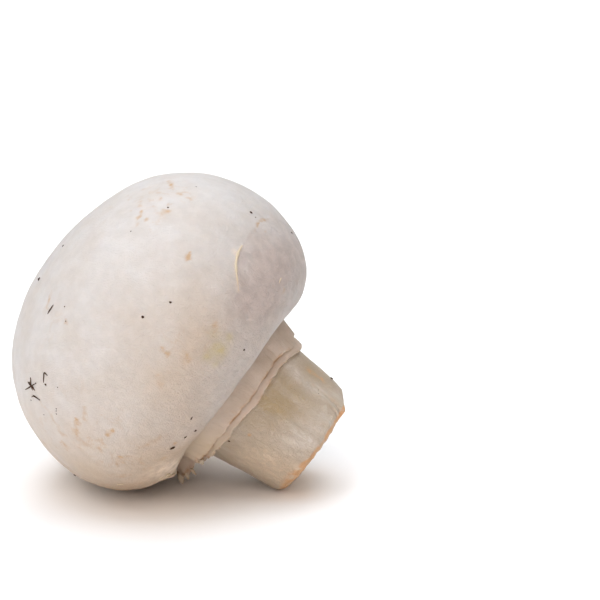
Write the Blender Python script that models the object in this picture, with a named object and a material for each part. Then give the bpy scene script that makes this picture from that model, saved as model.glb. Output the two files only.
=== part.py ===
"""A white button mushroom, picked and trimmed, lying on the side of its cap and the edge of its cut stem.

The mushroom grew as one piece, so it is one solid. It is modelled upright in its own growth frame, in
millimetres, with the cut end of the stem at height 0 and the crown of the cap at the top. Angle 0 is the
side that it lies on and angle 90 degrees is the side of the broad view. The solid is a stack of rings, from
the crown over the rounded cap, round the rolled margin, down the torn veil and the stem to the cut face.
Afterwards it is tipped over until cap and stem end touch the table together, and pressed flat there a little.
"""

import math

import bmesh
import bpy
import numpy as np
from mathutils import Matrix, Vector

MM = 0.001

# Cap, in millimetres
CAP_RADIUS = 24.85
CROWN_HEIGHT = 21.0  # from the widest ring up to the crown
WIDEST_HEIGHT = 27.45  # of the widest ring above the cut end
CROWN_POWER = 2.17  # 2 is an ellipse, more is squarer
CROWN_SKEW = 0.05  # the crown is fuller towards angle 0, by this much of the distance from the axis
CROWN_SKEW_REACH = 14.0
CAP_OFFSET = 0.54  # of the cap from the axis, towards angle 0
CAP_LEAN = math.radians(1.8)

# Margin of the cap
MARGIN_RADIUS = 15.5  # ring where the margin hangs lowest
MARGIN_HEIGHT = 15.3
MARGIN_ROLL = 1.1  # radius of the margin's inward roll

# Veil, which is torn in two layers
GROOVE_RADIUS = 13.5  # groove between the margin and the veil
GROOVE_DEPTH = 1.9  # above the margin's lowest ring
VEIL_TOP_RADIUS = 12.7
VEIL_TOP_DROP = 0.5  # from the groove to the top of the veil
TEAR_RADIUS = 11.7  # outer layer, at its torn edge
TEAR_HEIGHT = 13.15
LIP_RADIUS = 10.95  # inner layer, at its torn edge
LIP_HEIGHT = 12.1
LAYER = 0.5  # thickness of each layer
UNDERCUT = 0.5  # how far the stem reaches up behind the inner layer
FLAP_REACH = 4.9  # how far the loose flap of the veil stands out from the rest

# Stem
STEM_TOP_RADIUS = 10.2
STEM_END_RADIUS = 9.1
STEM_TOP_OFFSET = 1.1  # of the stem from the axis, towards angle 0
STEM_END_OFFSET = 0.95
STEM_EDGE = 1.6  # rounding of the cut end
STEM_EDGE_MORE = 1.5  # added to it on the upper side
CURL_REACH = 0.8  # flake of skin that curls off the cut edge
PITH_DEPTH = 0.4  # hollow in the middle of the cut face

PRESS_DEPTH = 0.3  # how far cap and stem end are flattened where they lie
TILT_RANGE = (math.radians(20), math.radians(50))

# Resolution
AROUND = 90
CROWN_ROWS = 14
MARGIN_ROWS = 10
SMOOTH_ANGLE = math.radians(50)

SKIN_COLOUR = (0.80, 0.745, 0.69, 1)
SKIN_ROUGHNESS = 0.62


def bump(angle, centre_deg, width_deg):
    """A smooth hill round the stem: 1 at centre_deg, falling off over width_deg."""
    away = np.angle(np.exp(1j * (angle - math.radians(centre_deg))))
    return np.exp(-((away / math.radians(width_deg)) ** 2))


def hill(height, centre, width):
    """A smooth hill along the height."""
    return np.exp(-(((height - centre) / width) ** 2))


def ragged(angle, seed):
    """A torn outline about 0, roughly from -1 to 1: a sum of waves of no common length."""
    waves = ((3, 0.30), (5, 0.26), (8, 0.24), (13, 0.22), (19, 0.16))
    return sum(size * np.sin(count * angle + seed * (1.7 + 0.9 * count)) for count, size in waves)


def margin_height(angle):
    """The margin isn't level: it hangs lower on the far side, and round 180 degrees."""
    return MARGIN_HEIGHT + 0.8 * np.sin(angle) - 0.75 * bump(angle, 180, 28)


def lip_height(angle):
    """Torn edge of the veil's inner layer, which reaches furthest down the stem at about 178 degrees."""
    lobes = 1.75 * bump(angle, 178, 24) + 0.9 * bump(angle, 262, 16) - 0.5 * bump(angle, 300, 18)
    return LIP_HEIGHT - lobes - 0.3 * bump(angle, 108, 12) + 0.16 * ragged(angle, 1.0)


def tear_height(angle):
    """Torn edge of the veil's outer layer, close above the inner one except round 165 degrees."""
    lobes = 0.85 * bump(angle, 196, 22) + 0.6 * bump(angle, 285, 20)
    return TEAR_HEIGHT - lobes + 0.3 * bump(angle, 158, 10) + 0.14 * ragged(angle, 2.3)


def flap(angle):
    """Where the veil is still loose between margin and stem: 1 in the middle of the torn flap."""
    return bump(angle, 4, 17) + 0.35 * bump(angle, 38, 9)


def cap_relief(angle, height):
    """Shallow dents and swellings of the cap, in millimetres outwards."""
    up = (height - WIDEST_HEIGHT) / CROWN_HEIGHT
    lobes = 0.12 * np.sin(3 * angle + 0.6) + 0.07 * np.sin(5 * angle + 2.0) - 0.05 * np.cos(2 * angle)
    dent = -0.45 * bump(angle, 152, 20) * hill(height, 24.5, 5.0)
    fold = -0.30 * bump(angle, 24, 9) * hill(height, 36.0, 6.5)
    swell = 0.25 * bump(angle, 60, 28) * hill(height, 24.0, 6.0)
    far_dent = -0.50 * bump(angle, 262, 24) * hill(height, 30.0, 8.0)
    return lobes * np.clip(1 - up * up, 0, 1) + dent + fold + swell + far_dent


def cap_ring(angle, radius, height):
    """A ring of the cap as points: relief added, leaning towards angle 0 and set off from the axis."""
    radius = radius + cap_relief(angle, height) * np.clip(radius / 6.0, 0, 1)
    x, y = radius * np.cos(angle), radius * np.sin(angle)
    height = height + CROWN_SKEW * x * np.exp(-((radius / CROWN_SKEW_REACH) ** 2))
    lean = math.tan(CAP_LEAN)
    return np.stack([x + CAP_OFFSET + lean * (height - WIDEST_HEIGHT), y, height - lean * x], axis=1)


def stem_ring(angle, radius, height):
    """A ring of the veil or the stem as points, round the stem's own line, which isn't quite the axis."""
    offset = STEM_END_OFFSET + (STEM_TOP_OFFSET - STEM_END_OFFSET) * height / LIP_HEIGHT
    radius = radius * (1 + 0.018 * np.cos(2 * angle + 0.9) + 0.01 * np.cos(3 * angle))
    return np.stack([radius * np.cos(angle) + offset, radius * np.sin(angle), height], axis=1)


def cap_rings(angle):
    """From just below the crown, over the widest ring, to the end of the margin's inward roll."""
    level = np.ones_like(angle)
    for row in range(1, CROWN_ROWS + 1):
        turn = math.pi / 2 * row / CROWN_ROWS
        radius = CAP_RADIUS * math.sin(turn) ** (2 / CROWN_POWER)
        height = WIDEST_HEIGHT + CROWN_HEIGHT * max(math.cos(turn), 0) ** (2 / CROWN_POWER)
        yield cap_ring(angle, radius * level, height * level)
    lowest = margin_height(angle)
    for row in range(1, MARGIN_ROWS + 1):
        turn = math.pi / 2 * row / MARGIN_ROWS
        radius = MARGIN_RADIUS + (CAP_RADIUS - MARGIN_RADIUS) * math.cos(turn)
        yield cap_ring(angle, radius * level, WIDEST_HEIGHT - (WIDEST_HEIGHT - lowest) * math.sin(turn))
    for turn in (math.radians(40), math.radians(85)):
        radius = MARGIN_RADIUS - MARGIN_ROLL * math.sin(turn)
        yield cap_ring(angle, radius * level, lowest + MARGIN_ROLL * (1 - math.cos(turn)))


def veil_rings(angle):
    """The groove inside the margin, then the veil's outer and inner layer, each with a torn edge."""
    tear, lip, loose = tear_height(angle), lip_height(angle), flap(angle)
    tear_radius = TEAR_RADIUS + loose * (FLAP_REACH + 0.5 * ragged(angle, 4.0)) + 0.12 * ragged(angle, 3.1)
    lip_radius = LIP_RADIUS + 0.9 * loose + 0.12 * ragged(angle, 5.2)
    groove = margin_height(angle) + GROOVE_DEPTH
    top, top_radius = groove - VEIL_TOP_DROP, VEIL_TOP_RADIUS + 0.3 * loose
    yield stem_ring(angle, GROOVE_RADIUS * np.ones_like(angle), groove)
    for share in (0.0, 0.35, 0.7, 1.0):
        yield stem_ring(angle, top_radius + (tear_radius - top_radius) * share, top + (tear - top) * share)
    yield stem_ring(angle, tear_radius - LAYER, tear - 0.2 * LAYER)
    yield stem_ring(angle, lip_radius + 0.3 * LAYER, tear + 0.9 * LAYER)
    yield stem_ring(angle, lip_radius + 0.1 * LAYER, (tear + lip) / 2)
    yield stem_ring(angle, lip_radius, lip)
    yield stem_ring(angle, lip_radius - LAYER, lip - 0.1 * LAYER)
    yield stem_ring(angle, STEM_TOP_RADIUS * np.ones_like(angle), lip + UNDERCUT)


def stem_rings(angle):
    """The bare stem, its rounded end with the curling flake, and the cut face with the hollow of the pith."""
    start, edge = lip_height(angle) - UNDERCUT, STEM_EDGE + STEM_EDGE_MORE * bump(angle, 180, 50)
    for share in (0.0, 0.35, 0.7, 1.0):
        radius = STEM_TOP_RADIUS * (1 - share) + STEM_END_RADIUS * share + 0.05 * ragged(angle, 6.0)
        yield stem_ring(angle, radius, start * (1 - share) + edge * share)
    curl = CURL_REACH * bump(angle, 158, 8)
    for turn in (math.radians(30), math.radians(60), math.radians(90)):
        out = curl * math.sin(2 * turn)
        radius = STEM_END_RADIUS - edge * (1 - math.cos(turn)) + out
        yield stem_ring(angle, radius, edge * (1 - math.sin(turn)) - 0.6 * out)
    for share, depth in ((0.9, 0.08), (0.6, 0.25), (0.3, 0.35), (0.15, 1.0)):
        yield stem_ring(angle, (STEM_END_RADIUS - edge) * share, PITH_DEPTH * depth * np.ones_like(angle))


def grow_mushroom():
    """The upright mushroom as a closed mesh: ring joined to ring, with a point at the crown and at the pith."""
    angle = np.arange(AROUND) * 2 * math.pi / AROUND
    rings = [*cap_rings(angle), *veil_rings(angle), *stem_rings(angle)]
    nought = np.zeros(1)
    crown = cap_ring(nought, nought, nought + WIDEST_HEIGHT + CROWN_HEIGHT)[0]
    pith = stem_ring(nought, nought, nought + PITH_DEPTH)[0]
    mesh = bmesh.new()
    top, bottom = (mesh.verts.new(Vector(point) * MM) for point in (crown, pith))
    rows = [[mesh.verts.new(Vector(point) * MM) for point in ring] for ring in rings]
    for here in range(AROUND):
        after = (here + 1) % AROUND
        mesh.faces.new((top, rows[0][here], rows[0][after]))
        mesh.faces.new((bottom, rows[-1][after], rows[-1][here]))
        for upper, lower in zip(rows, rows[1:]):
            mesh.faces.new((upper[here], lower[here], lower[after], upper[after]))
    return mesh


def laid(tilt):
    """Turns the growth frame so that the stem points along +X and down by tilt, with angle 0 underneath."""
    up = Vector((-math.cos(tilt), 0, math.sin(tilt)))
    under = Vector((-math.sin(tilt), 0, -math.cos(tilt)))
    return Matrix((under, up.cross(under), up)).transposed()


def resting_tilt(points):
    """The tilt, found by halving, at which the cap and the stem end are equally low."""
    low, high = TILT_RANGE
    is_cap = points[:, 2] > LIP_HEIGHT * MM
    for _ in range(40):
        middle = (low + high) / 2
        heights = points @ np.array(laid(middle))[2]
        if heights[~is_cap].min() > heights[is_cap].min():
            low = middle
        else:
            high = middle
    return (low + high) / 2


def press_flat(mesh, rotation, floor):
    """Cuts off what would sink below the table, which leaves a flat spot on the cap and one on the stem end."""
    down = rotation.transposed() @ Vector((0, 0, -1))
    parts = [*mesh.verts, *mesh.edges, *mesh.faces]
    cut = bmesh.ops.bisect_plane(mesh, geom=parts, dist=1e-7, plane_co=-down * floor, plane_no=down, clear_outer=True)
    edges = [part for part in cut["geom_cut"] if isinstance(part, bmesh.types.BMEdge)]
    bmesh.ops.holes_fill(mesh, edges=edges, sides=0)


def skin_material():
    material = bpy.data.materials.new("mushroom_skin")
    material.use_nodes = True
    shader = material.node_tree.nodes["Principled BSDF"]
    shader.inputs["Base Color"].default_value = SKIN_COLOUR
    shader.inputs["Roughness"].default_value = SKIN_ROUGHNESS
    shader.inputs["Metallic"].default_value = 0.0
    return material


def main():
    for old in list(bpy.data.objects):
        bpy.data.objects.remove(old)
    mesh = grow_mushroom()
    points = np.array([vert.co for vert in mesh.verts])
    rotation = laid(resting_tilt(points))
    floor = (points @ np.array(rotation)[2]).min() + PRESS_DEPTH * MM
    press_flat(mesh, rotation, floor)
    data = bpy.data.meshes.new("mushroom")
    mesh.to_mesh(data)
    mesh.free()
    data.materials.append(skin_material())
    data.shade_smooth()
    data.set_sharp_from_angle(angle=SMOOTH_ANGLE)
    mushroom = bpy.data.objects.new("mushroom", data)
    bpy.context.scene.collection.objects.link(mushroom)
    world = np.array([rotation @ vert.co for vert in data.vertices])
    middle = (world.min(axis=0) + world.max(axis=0)) / 2
    mushroom.matrix_world = Matrix.Translation((-middle[0], -middle[1], -floor)) @ rotation.to_4x4()


main()
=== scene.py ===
import math
import bpy
import numpy as np
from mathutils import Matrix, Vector


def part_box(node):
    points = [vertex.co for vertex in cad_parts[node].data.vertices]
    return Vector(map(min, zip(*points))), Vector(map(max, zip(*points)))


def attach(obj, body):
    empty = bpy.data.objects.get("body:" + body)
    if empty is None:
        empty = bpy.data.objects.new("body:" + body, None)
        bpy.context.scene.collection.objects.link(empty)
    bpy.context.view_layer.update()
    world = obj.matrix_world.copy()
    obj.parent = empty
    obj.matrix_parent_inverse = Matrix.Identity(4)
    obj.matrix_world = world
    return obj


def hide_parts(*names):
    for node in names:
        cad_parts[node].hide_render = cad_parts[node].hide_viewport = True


# The mushroom is worked out upright in its growth frame, in millimetres: cut end at height 0, crown at the
# top, angle 0 on the side it lies on, 90 degrees on the side of the broad view. Then it is laid down.

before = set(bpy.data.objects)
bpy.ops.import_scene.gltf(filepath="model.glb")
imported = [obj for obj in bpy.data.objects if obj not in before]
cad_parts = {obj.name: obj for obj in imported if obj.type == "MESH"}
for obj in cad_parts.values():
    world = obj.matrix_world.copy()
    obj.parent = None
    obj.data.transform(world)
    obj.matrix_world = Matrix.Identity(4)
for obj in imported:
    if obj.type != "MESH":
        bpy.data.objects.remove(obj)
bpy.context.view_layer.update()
mm = 0.001
twoPi = 2 * math.pi

capForm = {
    "radius": 24.85, "crown": 21.0, "widest": 27.45, "power": 2.17,  # power 2 is an ellipse, more is squarer
    "skew": 0.05, "skewReach": 14.0, "offset": 0.54, "lean": 1.8,
    "marginRadius": 15.5, "marginHeight": 15.3, "marginTilt": 0.8, "roll": 1.1, "inset": 0.10,
    # waves of the margin: angle and width in degrees, millimetres up
    "marginWaves": ((180, 28, -0.75), (62, 13, 0.4)),
    # the margin's torn corner: its shape round the cap, and how far it stands out, down and aside
    "corner": ((19, 6, 0.6), (21, 15, 0.35)), "flareOut": 0.55, "flareDown": 0.6, "flareAside": 1.5,
    # dents and swellings: angle and width in degrees, height and width, millimetres outwards
    "swellings": ((152, 20, 24.5, 5.0, -0.45), (24, 9, 36.0, 6.5, -0.30), (60, 28, 24.0, 6.0, 0.25),
                  (262, 24, 30.0, 8.0, -0.50)),
    # out of sight over the stem: radius and height of two closing rings, and the point that they end in
    "closing": ((13.2, 19.0), (6.0, 20.0)), "innerEnd": (1.0, 0, 20.0),
}
veilForm = {
    "grooveRadius": 13.5, "grooveDepth": 1.9, "topRadius": 12.7, "topDrop": 0.5,
    "tearRadius": 11.7, "tearHeight": 13.15, "lipRadius": 10.95, "lipHeight": 12.1, "layer": 0.5,
    "flapReach": 4.9, "flapTop": 2.1, "flapLip": 0.9,  # how far the flap spreads at its edge, top and lip
    # waves of the two torn edges: angle and width in degrees, millimetres down
    "lipWaves": ((178, 24, 1.75), (262, 16, 0.9), (300, 18, -0.5), (108, 12, 0.3)),
    "tearWaves": ((196, 22, 0.85), (285, 20, 0.6), (167, 15, 1.25)),
}
stemForm = {
    "topRadius": 10.2, "endRadius": 9.1, "topOffset": 1.1, "endOffset": 0.95,
    "edge": 1.6, "edgeMore": 1.85,  # how far the rim is rounded, and how much more on its upper side
    "pith": 0.4, "pithMiddle": 0.95,
    "pithRings": ((0.95, 0.05), (0.6, 0.25), (0.3, 0.4), (0.12, 1.0)),  # shares of the radius and of the depth
    "inside": ((6, 20), (9.6, 18)), "innerEnd": (1.0, 0, 20.2),  # out of sight in the cap
}
# degrees from standing on the cap's side, how far it is pressed flat, and the distance kept from the box
lying = {"tilt": 35.443, "press": 0.3, "gap": 0.03}


def cellNumber(cells, seed):
    key = cells[..., 0] * 73856093 ^ cells[..., 1] * 19349663 ^ cells[..., 2] * 83492791 ^ seed * 40503
    key = (key ^ key >> 13) * 1274126177 & 0xFFFFFFFF
    return key ^ key >> 16


# Gradient noise from about -1 to 1: each corner of a cell gets a slope in a random direction, and the eight
# slopes round a point are blended by how near they are.
def softNoise(points, size, seed=1):
    spot = np.asarray(points, float) / size
    cell = np.floor(spot).astype(np.int64)
    part = spot - cell
    fade = part ** 3 * (part * (part * 6 - 15) + 10)
    total = np.zeros(spot.shape[:-1])
    for corner in ((i, j, k) for i in (0, 1) for j in (0, 1) for k in (0, 1)):
        key = cellNumber(cell + np.array(corner), seed)
        turn, lift = (key & 1023) * twoPi / 1024, (key >> 10 & 1023) / 511.5 - 1
        flat = np.sqrt(1 - lift ** 2)
        slope = np.stack([flat * np.cos(turn), flat * np.sin(turn), lift], axis=-1)
        weight = np.prod(np.where(corner, fade, 1 - fade), axis=-1)
        total += weight * np.sum(slope * (part - corner), axis=-1)
    return total * 1.6


# Noise in layers, each half the size and a little over half the strength of the one before.
def layeredNoise(points, size, layers, seed=1):
    return sum(softNoise(points, size / 2 ** n, seed + 7 * n) * 0.55 ** n for n in range(layers))


# 1 at the centre angle and falling off smoothly over the width, both in degrees.
def bump(angle, centre, width):
    away = np.angle(np.exp(1j * (angle - math.radians(centre))))
    return np.exp(-(away / math.radians(width)) ** 2)


def hill(height, centre, width):
    return np.exp(-((height - centre) / width) ** 2)


# A sum of bumps, each given as its angle, width and size.
def bumps(angle, spots):
    return sum(size * bump(angle, centre, width) for centre, width, size in spots)


# The same over two coordinates, each given as its angle, width, level, spread and size.
def humps(angle, height, spots):
    return sum(size * bump(angle, centre, width) * hill(height, level, spread)
               for centre, width, level, spread, size in spots)


# Rises smoothly from 0 at low to 1 at high.
def ramp(value, low, high):
    share = np.clip((value - low) / (high - low), 0, 1)
    return share * share * (3 - 2 * share)


# A torn outline about 0: a sum of five waves round the stem whose counts share no common factor.
def ragged(angle, seed):
    waves = ((3, 0.30), (5, 0.26), (8, 0.24), (13, 0.22), (19, 0.16))
    return sum(size * np.sin(count * angle + seed * (1.7 + 0.9 * count)) for count, size in waves)


# Points round a circle of this radius, so that noise along the angle closes on itself.
def ringSpace(angle, radius, height=0.0):
    angle, height = np.broadcast_arrays(angle, height)
    return np.stack([radius * np.cos(angle), radius * np.sin(angle), height], axis=-1)


def marginHeight(angle):
    slope = capForm["marginTilt"] * np.sin(angle)
    return capForm["marginHeight"] + slope + bumps(angle, capForm["marginWaves"])


def lipHeight(angle):
    return veilForm["lipHeight"] - bumps(angle, veilForm["lipWaves"]) + 0.16 * ragged(angle, 1.0)


def tearHeight(angle):
    return veilForm["tearHeight"] - bumps(angle, veilForm["tearWaves"]) + 0.14 * ragged(angle, 2.3)


# How loose the veil hangs from the cap, from 0 to 1: most on the side it lies on, a little beside it.
def flapLoose(angle):
    return np.maximum(bump(angle, 4, 9), bump(angle, -2, 12)) + 0.24 * bump(angle, 33, 8)


# Shallow dents and swellings of the whole cap, in millimetres away from its axis.
def capRelief(angle, height):
    up = (height - capForm["widest"]) / capForm["crown"]
    lobes = 0.12 * np.sin(3 * angle + 0.6) + 0.07 * np.sin(5 * angle + 2.0) - 0.05 * np.cos(2 * angle)
    return lobes * np.clip(1 - up * up, 0, 1) + humps(angle, height, capForm["swellings"])


def capPlace(angle, radius, height):
    radius = radius + capRelief(angle, height) * np.clip(radius / 6.0, 0, 1)
    x, y = radius * np.cos(angle), radius * np.sin(angle)
    height = height + capForm["skew"] * x * np.exp(-(radius / capForm["skewReach"]) ** 2)
    lean = math.tan(math.radians(capForm["lean"]))
    along = x + capForm["offset"] + lean * (height - capForm["widest"])
    return np.stack([along, y, height - lean * x], axis=-1)


def stemPlace(angle, radius, height):
    share = height / veilForm["lipHeight"]
    offset = stemForm["endOffset"] + (stemForm["topOffset"] - stemForm["endOffset"]) * share
    radius = radius * (1 + 0.018 * np.cos(2 * angle + 0.9) + 0.01 * np.cos(3 * angle))
    return np.stack([radius * np.cos(angle) + offset, radius * np.sin(angle), height + 0 * angle], axis=-1)


# The cap by turn and angle. Turn 0 is the crown, a quarter turn the widest ring, a half turn the lowest ring
# of the margin, and more follows the margin's inward roll. Above the widest ring the profile is a
# superellipse, below it a quarter of an ellipse, and the roll is an arc. On the side it lies on the margin is
# torn, and its corner stands out and down.
def capBase(turn, angle):
    quarter = math.pi / 2
    power = 2 / capForm["power"]
    crownTurn = np.clip(turn, 0, quarter)
    underTurn = np.clip(turn - quarter, 0, quarter)
    rollTurn = np.clip(turn - math.pi, 0, None)
    widest, outer, inner = capForm["widest"], capForm["radius"], capForm["marginRadius"]
    crownRadius = outer * np.sin(crownTurn) ** power
    crownHeight = widest + capForm["crown"] * np.clip(np.cos(crownTurn), 0, 1) ** power
    underRadius = inner + (outer - inner) * np.cos(underTurn) - capForm["roll"] * np.sin(rollTurn)
    drop = (widest - marginHeight(angle)) * np.sin(underTurn)
    underHeight = widest - drop + capForm["roll"] * (1 - np.cos(rollTurn))
    frayed = 1 + 0.45 * np.sin(41 * angle) * np.sin(17 * angle + 1)
    torn = bumps(angle, capForm["corner"]) * hill(turn, math.pi, 0.22) * frayed
    tuck = 0.5 * bump(angle, 27, 12) * hill(turn, 2.86, 0.26)  # the skin draws in above the corner
    above = turn <= quarter
    radius = np.where(above, crownRadius, underRadius + capForm["flareOut"] * torn - tuck)
    height = np.where(above, crownHeight, underHeight - capForm["flareDown"] * torn)
    place = capPlace(angle, radius, height)
    place[..., 1] += capForm["flareAside"] * bump(angle, 29, 13) * hill(turn, 3.05, 0.34)
    return place


# How the grown form lies: angle 0 underneath, the stem pointing along +X and down by the tilt.
def layDirections():
    tilt = math.radians(lying["tilt"])
    under = (-math.sin(tilt), 0, -math.cos(tilt))
    up = (-math.cos(tilt), 0, math.sin(tilt))
    return np.array([under, (0, -1, 0), up])


def layShift():
    turn = np.radians(np.linspace(1, 180, 180))[:, None]
    angle = np.radians(np.arange(360))[None, :]
    world = (capBase(turn, angle) @ layDirections()).reshape(-1, 3)
    low, high = (np.array(corner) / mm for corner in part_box("mushroom"))
    middle = (world.min(axis=0) + world.max(axis=0)) / 2
    left = low[0] - world[:, 0].min() + lying["gap"]
    return np.array([left, (low[1] + high[1]) / 2 - middle[1], -world[:, 2].min() - lying["press"]])


def layDown(points):
    world = points @ layDirections() + layShift()
    world[..., 2] = np.maximum(world[..., 2], 0)  # pressed flat where it touches the table
    return world


def unit(vectors):
    return vectors / np.maximum(np.linalg.norm(vectors, axis=-1, keepdims=True), 1e-9)


# Outward normals of a grid whose rows run down and whose columns run round.
def gridNormals(points):
    down = np.gradient(points, axis=0)
    across = np.roll(points, -1, axis=1) - np.roll(points, 1, axis=1)
    return unit(np.cross(down, across))


# Quads of a grid with its last column joined to its first, and its last row too where it is a loop both ways.
def gridQuads(rows, columns, loop=False):
    row = np.arange(rows if loop else rows - 1)[:, None]
    column = np.arange(columns)[None, :]
    here, below = row * columns, (row + 1) % rows * columns
    after = (column + 1) % columns
    corners = (here + column, below + column, below + after, here + after)
    return np.stack(corners, axis=-1).reshape(-1, 4)


# Triangles that close a grid's first and last rows to one point each.
def endFans(rows, columns, first, last):
    column = np.arange(columns)
    after, end = (column + 1) % columns, (rows - 1) * columns
    top = np.stack([np.full(columns, first), column, after], axis=-1)
    bottom = np.stack([np.full(columns, last), end + after, end + column], axis=-1)
    return np.concatenate([top, bottom])


def makePiece(name, points, quads, triangles=None, slot="cap_skin", material=None, layers=None):
    triangles = np.zeros((0, 3), int) if triangles is None else triangles
    mesh = bpy.data.meshes.new(name)
    mesh.vertices.add(len(points))
    mesh.vertices.foreach_set("co", (layDown(points) * mm).astype(np.float32).ravel())
    corners = np.concatenate([quads.ravel(), triangles.ravel()])
    starts = np.concatenate([np.arange(len(quads)) * 4, len(quads) * 4 + np.arange(len(triangles)) * 3])
    mesh.loops.add(len(corners))
    mesh.loops.foreach_set("vertex_index", corners)
    mesh.polygons.add(len(starts))
    mesh.polygons.foreach_set("loop_start", starts)
    mesh.update(calc_edges=True)
    mesh.validate()
    mesh.shade_smooth()
    for layer, values in (layers or {}).items():
        kind, field = ("FLOAT_VECTOR", "vector") if values.ndim == 2 else ("FLOAT", "value")
        attribute = mesh.attributes.new(layer, kind, "POINT")
        attribute.data.foreach_set(field, values.astype(np.float32).ravel())
    piece = bpy.data.objects.new(name, mesh)
    bpy.context.scene.collection.objects.link(piece)
    if material:
        mesh.materials.append(material)
    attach(piece, "root")
    print(name, len(quads) * 2 + len(triangles), "triangles")
    return piece


# A grid that closes round its columns, with a point added beyond its first and its last row.
def makeLathe(name, grid, first, last, layers=None, **finish):
    rows, columns = grid.shape[:2]
    count = rows * columns
    points = np.concatenate([grid.reshape(-1, 3), first[None], last[None]])
    full = {}
    for layer, values in (layers or {}).items():
        flat = values.reshape(count, -1)
        flat = np.concatenate([flat, flat[:columns].mean(axis=0)[None], flat[-columns:].mean(axis=0)[None]])
        full[layer] = flat if flat.shape[1] == 3 else flat[:, 0]
    fans = endFans(rows, columns, count, count + 1)
    return makePiece(name, points, gridQuads(rows, columns), fans, layers=full, **finish)


# A closed thin strip: at each station along the path stands an ellipse of this half width and half thickness.
def stripGrid(path, across, normal, width, thick, columns=12):
    turn = np.arange(columns) * twoPi / columns
    side, rise = np.cos(turn)[None, :, None], np.sin(turn)[None, :, None]
    return path[:, None] + side * (width * across)[:, None] + rise * (thick * normal)[:, None]


# Many closed grids in one mesh, each with a point at both its ends.
def makeMany(name, grids, layers=None, **finish):
    points, quads, triangles, offset = [], [], [], 0
    for grid in grids:
        rows, columns = grid.shape[:2]
        count = rows * columns
        points += [grid.reshape(-1, 3), grid[0].mean(axis=0)[None], grid[-1].mean(axis=0)[None]]
        quads.append(gridQuads(rows, columns) + offset)
        triangles.append(endFans(rows, columns, count, count + 1) + offset)
        offset += count + 2
    points = np.concatenate(points)
    layers = {layer: fill(points) for layer, fill in (layers or {}).items()}
    return makePiece(name, points, np.concatenate(quads), np.concatenate(triangles), layers=layers, **finish)


# Distance along each column of a grid, in millimetres.
def runLength(grid):
    steps = np.linalg.norm(np.diff(grid, axis=0), axis=-1)
    return np.concatenate([np.zeros((1, grid.shape[1])), np.cumsum(steps, axis=0)])


# Values from 0 to the last turn whose rings are evenly spaced along the profile.
def evenTurns(count, lastTurn):
    turn = np.linspace(0.02, lastTurn, 2000)
    length = runLength(capBase(turn[:, None], np.full((1, 1), math.pi / 2)))[:, 0]
    return np.interp(np.linspace(0, 1, count), length / length[-1], turn)


nodeStep = 200


def newMaterial(name):
    material = bpy.data.materials.new(name)
    material.use_nodes = True
    return material, material.node_tree, material.node_tree.nodes["Principled BSDF"]


def addNode(tree, kind, inputs=None, **settings):
    node = tree.nodes.new(kind)
    node.location = (-nodeStep * (len(tree.nodes) % 12), -nodeStep * (len(tree.nodes) // 12))
    for setting, value in settings.items():
        setattr(node, setting, value)
    for socket, value in (inputs or {}).items():
        if isinstance(value, bpy.types.NodeSocket):
            tree.links.new(value, node.inputs[socket])
        else:
            node.inputs[socket].default_value = value
    return node


def maths(tree, operation, first, second):
    return addNode(tree, "ShaderNodeMath", {0: first, 1: second}, operation=operation).outputs[0]


def vectorMaths(tree, operation, first, second):
    socket = "Scale" if operation == "SCALE" else 1
    return addNode(tree, "ShaderNodeVectorMath", {0: first, socket: second}, operation=operation).outputs[0]


def mixColour(tree, share, first, second, blend="MIX"):
    node = addNode(tree, "ShaderNodeMix", {0: share, 6: first, 7: second}, data_type="RGBA", blend_type=blend)
    return node.outputs[2]


def noise(tree, vector, scale, detail, roughness=0.5, distortion=0.0):
    inputs = {"Vector": vector, "Scale": scale, "Detail": detail, "Roughness": roughness,
              "Distortion": distortion}
    return addNode(tree, "ShaderNodeTexNoise", inputs).outputs


def layerValue(tree, name, output="Fac"):
    return addNode(tree, "ShaderNodeAttribute", attribute_name=name).outputs[output]


def objectPlace(tree):
    return addNode(tree, "ShaderNodeTexCoord").outputs["Object"]


def mapRange(tree, value, low, high, toLow=0.0, toHigh=1.0):
    inputs = {"Value": value, "From Min": low, "From Max": high, "To Min": toLow, "To Max": toHigh}
    return addNode(tree, "ShaderNodeMapRange", inputs, interpolation_type="SMOOTHSTEP").outputs[0]


# Builds a node group once: inputs and outputs are (name, socket type, default), and fill(tree, inputs)
# returns a dictionary of outputs.
def nodeGroup(name, inputs, outputs, fill):
    tree = bpy.data.node_groups.new(name, "ShaderNodeTree")
    for label, kind, value in inputs:
        socket = tree.interface.new_socket(label, in_out="INPUT", socket_type="NodeSocket" + kind)
        if value is not None:
            socket.default_value = value
    for label, kind in outputs:
        tree.interface.new_socket(label, in_out="OUTPUT", socket_type="NodeSocket" + kind)
    source, result = tree.nodes.new("NodeGroupInput"), tree.nodes.new("NodeGroupOutput")
    for label, socket in fill(tree, source.outputs).items():
        tree.links.new(socket, result.inputs[label])
    return tree


def useGroup(tree, group, **inputs):
    inputs = {label[0].upper() + label[1:]: value for label, value in inputs.items()}
    return addNode(tree, "ShaderNodeGroup", inputs, node_tree=group).outputs


# Fine threads that run along the third coordinate of the grain: noise stretched along it, in two widths.
def fillFibres(tree, given):
    swirl = vectorMaths(tree, "SUBTRACT", noise(tree, given["Grain"], 0.55, 2.0)[1], (0.5, 0.5, 0.5))
    moved = vectorMaths(tree, "ADD", given["Grain"], vectorMaths(tree, "SCALE", swirl, given["Wander"]))
    scaled = vectorMaths(tree, "MULTIPLY", moved, given["Stretch"])
    thick = maths(tree, "MULTIPLY", noise(tree, scaled, 1.0, 3.0, 0.6, 0.7)[0], 0.6)
    finer = maths(tree, "MULTIPLY", noise(tree, scaled, 3.1, 2.0)[0], 0.4)
    return {"Fibres": mapRange(tree, maths(tree, "ADD", thick, finer), 0.33, 0.67)}


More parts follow.
